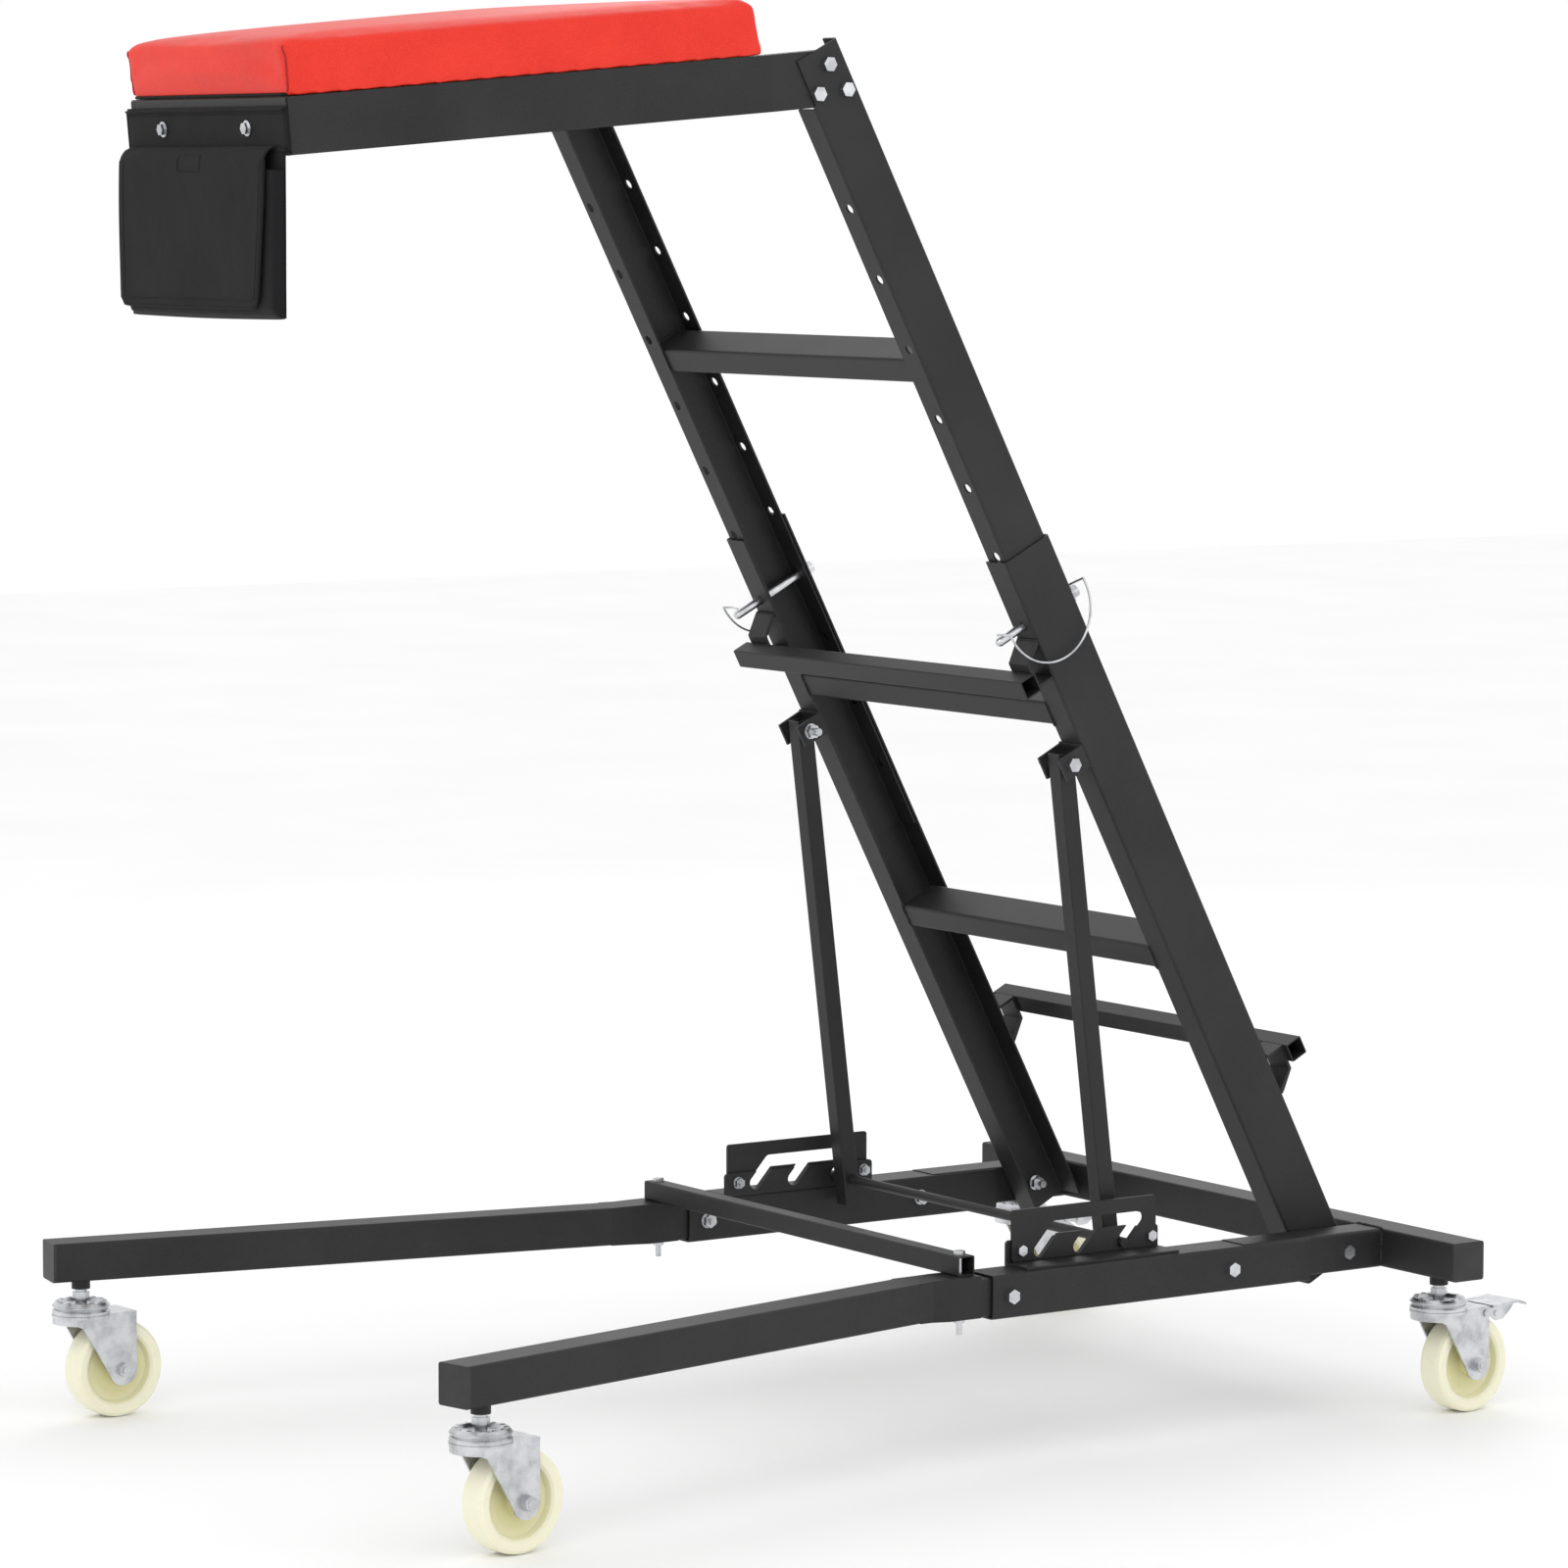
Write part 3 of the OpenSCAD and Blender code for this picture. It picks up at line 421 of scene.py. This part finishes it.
def swell(o, cap):
    """Inflates the closed form with Cloth, caps each point's travel, and smooths above the hem."""
    base = [v.co.copy() for v in o.data.vertices]
    pin = o.vertex_groups.new(name="pin")
    for v in o.data.vertices:
        held = 1 - (v.co.z - PAD_Z0) / PIN_RISE
        if held > 0:
            pin.add([v.index], min(1.0, held), "REPLACE")
    c = o.modifiers.new("cloth", "CLOTH")
    s = c.settings
    s.use_pressure = True
    s.uniform_pressure_force = 4.0
    s.effector_weights.gravity = 0
    s.vertex_group_mass = "pin"
    s.quality = 5
    s.tension_stiffness = s.compression_stiffness = 40
    s.bending_stiffness = 4
    c.point_cache.frame_start, c.point_cache.frame_end = 1, SIM_FRAMES
    scene = bpy.context.scene
    for f in range(1, SIM_FRAMES + 1):
        scene.frame_set(f)
    shape = o.evaluated_get(bpy.context.evaluated_depsgraph_get()).to_mesh()
    moved = [v.co.copy() for v in shape.vertices]
    o.modifiers.remove(c)
    for v, a, b in zip(o.data.vertices, base, moved):
        d = b - a
        v.co = a + (d if d.length < cap else d.normalized() * cap)
    scene.frame_set(1)
    bm = bmesh.new()
    bm.from_mesh(o.data)
    for _ in range(5):
        bmesh.ops.smooth_vert(bm, verts=[v for v in bm.verts if v.co.z > PAD_Z0 + HEM_HELD],
                              factor=0.5, use_axis_x=True, use_axis_y=True, use_axis_z=True)
    bm.to_mesh(o.data)
    bm.free()


pad = piece("pad_cushion", pad_shape(), VINYL, "upper_ladder")
remesh = pad.modifiers.new("remesh", "REMESH")
remesh.mode = "VOXEL"
remesh.voxel_size = VOXEL
dg = bpy.context.evaluated_depsgraph_get()
fine = bpy.data.meshes.new_from_object(pad.evaluated_get(dg))
pad.modifiers.clear()
pad.data = fine
swell(pad, MAX_SWELL)
for v in pad.data.vertices:
    v.co = on_deck(*v.co)
sub = pad.modifiers.new("smooth", "SUBSURF")
sub.levels = sub.render_levels = 1
for f in pad.data.polygons:
    f.use_smooth = True
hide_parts("deck_pad")

# Sewn corner seams at the front, laid on the cushion's own surface
skin = BVHTree.FromPolygons([v.co[:] for v in pad.data.vertices],
                            [f.vertices[:] for f in pad.data.polygons])
bm = bmesh.new()
for sd in (-1, 1):
    line = []
    for i in range(13):
        h = i / 12
        bow = math.sin(h * math.pi)
        y = PAD_F + 0.0035 + 0.004 * bow
        x = sd * (pad_half(y) + 0.0005 + 0.0022 * bow - 0.004 * (1 - h) ** 2)
        near = skin.find_nearest(on_deck(x, y, PAD_Z0 + 0.003 + h * (PAD_Z1 - PAD_Z0 - 0.007)))
        line.append(near[0] + near[1] * 0.0002)
    tube(bm, line, 0.0010)
piece("pad_corner_seams", bm, SEAM, "upper_ladder")

# Black tube along the pad's lower crease, where the cover turns under the board: painted shade
# under the cushion, in the binding cloth
bm = bmesh.new()
front, rear, z = PAD_F + HEM_SHADE_INSET, PAD_B - HEM_SHADE_INSET, PAD_Z0 + 0.0014
corner = [(-pad_half(front) + HEM_SHADE_INSET, front), (pad_half(front) - HEM_SHADE_INSET, front),
          (pad_half(rear) - HEM_SHADE_INSET, rear), (-pad_half(rear) + HEM_SHADE_INSET, rear)]
loop = []
for (x0, y0), (x1, y1) in zip(corner, corner[1:] + corner[:1]):
    loop += [on_deck(x0 + (x1 - x0) * i / 24, y0 + (y1 - y0) * i / 24, z) for i in range(24)]
tube(bm, loop, 0.0016, closed=True)
piece("pad_hem_shade_line", bm, BINDING, "upper_ladder")


# ---- bag ----
HEAD_W, HEAD_H, HEAD_T = 0.307, 0.046, 0.003        # header band: width, height, thickness
HEAD_BACK, HEAD_FRONT = -0.5212, -0.5245    # back face and front binding, in deck coordinates
BACK_W, BACK_H = 0.294, 0.161
POUCH_W, POUCH_H, POUCH_D = 0.292, 0.137, 0.0085
FLAP_L, FLAP_R, FLAP_NARROWS = -0.1475, 0.1315, 0.012   # edges, and how much narrower it ends
FLAP_LEN, FLAP_RUN = 0.1535, 0.0186         # whole length, and the part over the shoulder
FLAP_OUT, FLAP_SHOULDER = 0.0120, 0.015     # how far the shoulder stands off, and its drop
STITCH, STITCH_GAP, THREAD_R = 0.003, 0.0042, 0.00028


def slab(name, corner, across, down, out, nx, nz, thick, wave, material, body):
    """A cloth panel: a grid from corner, thick along out, gently waved, with rounded rims."""
    bm = bmesh.new()
    across, down, out = Vector(across), Vector(down), Vector(out)
    grids = []
    for side in (0, 1):
        rows = []
        for j in range(nz + 1):
            row = []
            for i in range(nx + 1):
                u, w = i / nx, j / nz
                rim = min(min(u, 1 - u) * across.length, min(w, 1 - w) * down.length)
                edge = thick * 0.35 * max(0.0, 1 - rim / 0.003) ** 2
                lift = wave * (math.sin(3.1 * u * math.pi + 0.6) * math.sin(1.7 * w * math.pi + 0.3)
                               + 0.4 * math.sin(7 * u + 5 * w)) * w
                p = Vector(corner) + across * u + down * w
                p += out * (lift + (thick - edge if side else edge))
                row.append(bm.verts.new(p))
            rows.append(row)
        grids.append(rows)
    for rows in grids:
        quads(bm, rows)
    a, b = grids
    rim = [(0, i) for i in range(nx + 1)] + [(j, nx) for j in range(1, nz + 1)]
    rim += [(nz, i) for i in range(nx - 1, -1, -1)] + [(j, 0) for j in range(nz - 1, 0, -1)]
    for (j, i), (q, p) in zip(rim, rim[1:] + rim[:1]):
        bm.faces.new((a[j][i], a[q][p], b[q][p], b[j][i]))
    return piece(name, bm, material, body)


OUT = Vector((0, -1, 0))
DECK_UP = on_deck(0, 0, 1) - on_deck(0, 0, 0)
DECK_OUT = on_deck(0, -1, 0) - on_deck(0, 0, 0)

header = slab("bag_header_band", on_deck(-HEAD_W / 2, HEAD_BACK, HEAD_H), (HEAD_W, 0, 0),
              DECK_UP * -HEAD_H, DECK_OUT, 60, 12, HEAD_T, 0.0, CLOTH, "upper_ladder")
slab("bag_back", (-BACK_W / 2, FLAP.y + 0.0036, FLAP.z + 0.002), (BACK_W, 0, 0),
     (0, 0, -BACK_H), OUT, 60, 34, 0.0022, 0.0004, CLOTH, "upper_ladder")
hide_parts("bag_header")


def pouch_point(u, v):
    """A point of the pocket, which bellies forward inside its edges and sags a little."""
    belly = min(1.0, (min(u, 1 - u)) / 0.025) ** 0.5 * min(1.0, (1 - v) / 0.06) ** 0.5
    sag = 0.0008 * math.sin(u * 9 + 1) * math.sin(v * 6)
    sway = 0.0012 * math.sin(u * math.pi) * v
    return (-POUCH_W / 2 + u * POUCH_W, FLAP.y + 0.0016 - POUCH_D * belly - sag * belly,
            FLAP.z - 0.022 - v * POUCH_H - sway)


bm = bmesh.new()
quads(bm, grid(bm, 56, 30, pouch_point))
pouch = piece("bag_pocket", bm, CLOTH, "upper_ladder")
wall = pouch.modifiers.new("cloth", "SOLIDIFY")
wall.thickness, wall.offset = 0.0012, 1
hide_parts("bag_pouch")


def flap_line(w):
    """Side profile of the flap: over the shoulder from the hinge, then down, as (y, z)."""
    drop = w * FLAP_LEN
    if drop < FLAP_RUN:
        f = drop / FLAP_RUN
        return (FLAP.y - FLAP_OUT * math.sin(f * math.pi / 2) ** 0.55,
                FLAP.z - 0.0005 - FLAP_SHOULDER * f)
    return (FLAP.y - FLAP_OUT - 0.0006 * math.sin((drop - FLAP_RUN) * 30),
            FLAP.z - 0.0005 - FLAP_SHOULDER - (drop - FLAP_RUN))


def flap_point(u, w, lift=0):
    """A point of the flap, u across and w down, raised off its surface by lift."""
    left, right = FLAP_L, FLAP_R - FLAP_NARROWS * w ** 2
    y, z = flap_line(w)
    ripple = 0.0006 * math.sin(u * 11 + 0.5) * math.sin(w * 5 + 0.4) * min(1, w * 6)
    # The lower corners are rounded
    corner = max(0.0, abs(u - 0.5) * 2 - 0.93) / 0.07
    z += 0.008 * corner ** 2 * max(0.0, (w - 0.9) / 0.1)
    return Vector((left + (right - left) * u, y - lift - ripple, z))


bm = bmesh.new()
quads(bm, grid(bm, 60, 44, flap_point))
flap = piece("bag_flap_panel", bm, CLOTH, "flap")
wall = flap.modifiers.new("cloth", "SOLIDIFY")
wall.thickness, wall.offset = 0.0014, 0
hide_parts("bag_flap")

# Bound edge round the flap, its stitching, and the stitched box that holds the closure
bm = bmesh.new()
edge = [flap_point(0.0, w / 30) for w in range(3, 31)]
edge += [flap_point(u / 40, 1.0) for u in range(1, 41)]
edge += [flap_point(1.0, w / 30) for w in range(29, 2, -1)]
tube(bm, edge, 0.0011, 10)
piece("bag_flap_binding", bm, BINDING, "flap")
bm = bmesh.new()
inset = [flap_point(0.028, 0.1 + w * 0.01, 0.001) for w in range(0, 86, 5)]
inset += [flap_point(u / 40, 0.952, 0.001) for u in range(2, 39)]
inset += [flap_point(0.972, 0.95 - w * 0.01, 0.001) for w in range(0, 86, 5)]
stitches(bm, inset, STITCH_GAP, STITCH, THREAD_R)
box = [(0.41, 0.06), (0.41, 0.17), (0.565, 0.17), (0.565, 0.06), (0.41, 0.06)]
line = []
for (u0, w0), (u1, w1) in zip(box, box[1:]):
    line += [flap_point(u0 + (u1 - u0) * i / 8, w0 + (w1 - w0) * i / 8, 0.001) for i in range(9)]
stitches(bm, line, 0.0034, 0.0026, THREAD_R)
piece("bag_flap_stitches", bm, THREAD, "flap")

bm = bmesh.new()
for z in (0.005, 0.043):
    tube(bm, [on_deck(-HEAD_W / 2 + HEAD_W * i / 40, HEAD_FRONT, z) for i in range(41)], 0.0013)
for x in (-HEAD_W / 2, HEAD_W / 2):
    tube(bm, [on_deck(x, -0.5228, 0.004 + 0.039 * i / 8) for i in range(9)], 0.0016)
piece("bag_header_hem", bm, BINDING, "upper_ladder")
bm = bmesh.new()
for z in (0.009, 0.039):
    stitches(bm, [on_deck(-0.150, -0.5246, z), on_deck(0.150, -0.5246, z)],
             STITCH_GAP, STITCH, THREAD_R)
piece("bag_header_stitches", bm, THREAD, "upper_ladder")

# ---- welds ----
# Along the ladder: lower edges of the rungs, middles of the step bars and the strut brackets
RUNGS, RUNG_H, UPPER_RUNG = (0.352, 0.638), 0.026, 1.023
FRONT_STEP, REAR_STEP, BRACKET = 0.704, 0.203, 0.606
STRAP_NEAR, STRAP_FAR = 0.010, 0.034    # ends of a strap's foot, from its step bar
FACE = 0.030                            # front or rear face of a lower stile
FINE, STEP = 0.0017, 0.0024             # bead size and spacing


def ladder_bead(bm, sd, x, t, s, radius, step):
    """A weld on the ladder. x, t and s are (from, to) pairs, and sd is the side."""
    bead(bm, on_ladder(sd * x[0], t[0], s[0]), on_ladder(sd * x[1], t[1], s[1]), radius, step)


bm = bmesh.new()
for s in (RUNGS[0], RUNGS[0] + RUNG_H, RUNGS[1], RUNGS[1] + RUNG_H):
    for sd in (-1, 1):
        ladder_bead(bm, sd, (0.2152, 0.2152), (-0.0295, -0.029), (s, s), 0.0018, 0.002)
for s in RUNGS:
    for sd in (-1, 1):
        ladder_bead(bm, sd, (0.2155, 0.2155), (-0.0302, -0.0302), (s + 0.002, s + 0.024),
                    FINE, 0.0022)
for s, out in ((FRONT_STEP, -1), (REAR_STEP, 1)):
    t = out * (FACE + 0.0008)
    for sd in (-1, 1):
        for ds in (out * STRAP_NEAR, -out * STRAP_FAR):
            ladder_bead(bm, sd, (0.217, 0.246), (t, t), (s + ds, s + ds), FINE, STEP)
for sd in (-1, 1):
    for ds in (-0.012, 0.012):
        ladder_bead(bm, sd, (0.213, 0.247), (-FACE - 0.0008, -FACE - 0.0008),
                    (BRACKET + ds, BRACKET + ds), 0.0016, STEP)
piece("ladder_welds", bm, PAINT, "lower_ladder")

bm = bmesh.new()
for sd in (-1, 1):
    for s in (UPPER_RUNG, UPPER_RUNG + RUNG_H):
        ladder_bead(bm, sd, (0.2428, 0.2428), (-0.0245, 0.0195), (s, s), 0.0018, STEP)
piece("upper_welds", bm, PAINT, "upper_ladder")

# Where each rail stub meets the rear cross tube
bm = bmesh.new()
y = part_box("rear_cross_tube")[0][1] + 0.0002
for sd in (-1, 1):
    for x in (0.2515, 0.2915):
        bead(bm, (sd * x, y, 0.150), (sd * x, y, 0.181), 0.0019, 0.0026)
    bead(bm, (sd * 0.253, y, 0.1852), (sd * 0.290, y, 0.1852), 0.0018, 0.0026)
piece("base_welds", bm, PAINT, "base")

# ---- pressed detail on the caster races ----
BALLS, BALL_RING, BALL_Z, BALL_R = 12, 0.0235, 0.1222, 0.0030
LIP_RING, LIP_Z, LIP_R = 0.0287, 0.1180, 0.0010


def ring(at, radius, z, n):
    """n points evenly round a level circle about the stem at."""
    return [(at.x + radius * math.cos(2 * math.pi * i / n),
             at.y + radius * math.sin(2 * math.pi * i / n), z) for i in range(n)]


for n in ("fl", "fr", "rl", "rr"):
    at = Vector(JOINT["swivel_" + n]["pos_m"])
    bm = bmesh.new()
    for p in ring(at, BALL_RING, BALL_Z, BALLS):
        m = Matrix.Translation(p) @ Matrix.Diagonal((1, 1, 0.35, 1))
        bmesh.ops.create_icosphere(bm, subdivisions=3, radius=BALL_R, matrix=m)
    tube(bm, ring(at, LIP_RING, LIP_Z, 64), LIP_R, closed=True)
    piece("race_detail_" + n, bm, ZINC, "caster_" + n)

# ---- floor, light ----
bm = bmesh.new()
bmesh.ops.create_grid(bm, x_segments=2, y_segments=2, size=12)
me = bpy.data.meshes.new("floor")
bm.to_mesh(me)
bm.free()
floor = bpy.data.objects.new("floor", me)
bpy.context.collection.objects.link(floor)
k = Mat("floor_paper")
me.materials.append(k.done(k.ramp(k.noise(2, 2.0), (0.955, 0.955, 0.955), (0.98, 0.98, 0.98)),
                           k.span(k.noise(5, 2.0), 0.7, 0.8)))

world = bpy.data.worlds.new("studio")
world.use_nodes = True
world.node_tree.nodes["Background"].inputs["Color"].default_value = (1.0, 1.0, 1.0, 1)
world.node_tree.nodes["Background"].inputs["Strength"].default_value = 1.0
bpy.context.scene.world = world


def softbox(name, at, to, size, power):
    light = bpy.data.lights.new(name, "AREA")
    light.shape = "RECTANGLE"
    light.size, light.size_y = size
    light.energy = power
    o = bpy.data.objects.new(name, light)
    bpy.context.collection.objects.link(o)
    o.location = at
    o.rotation_euler = (Vector(to) - Vector(at)).to_track_quat("-Z", "Y").to_euler()


softbox("key", (2.4, -3.0, 3.4), (0, 0, 0.7), (2.2, 2.2), 22)
softbox("side", (3.6, 1.6, 2.2), (0, 0, 0.7), (1.6, 2.4), 6)
softbox("rim", (-2.6, 2.4, 3.0), (0, 0, 0.9), (2.0, 2.0), 16)
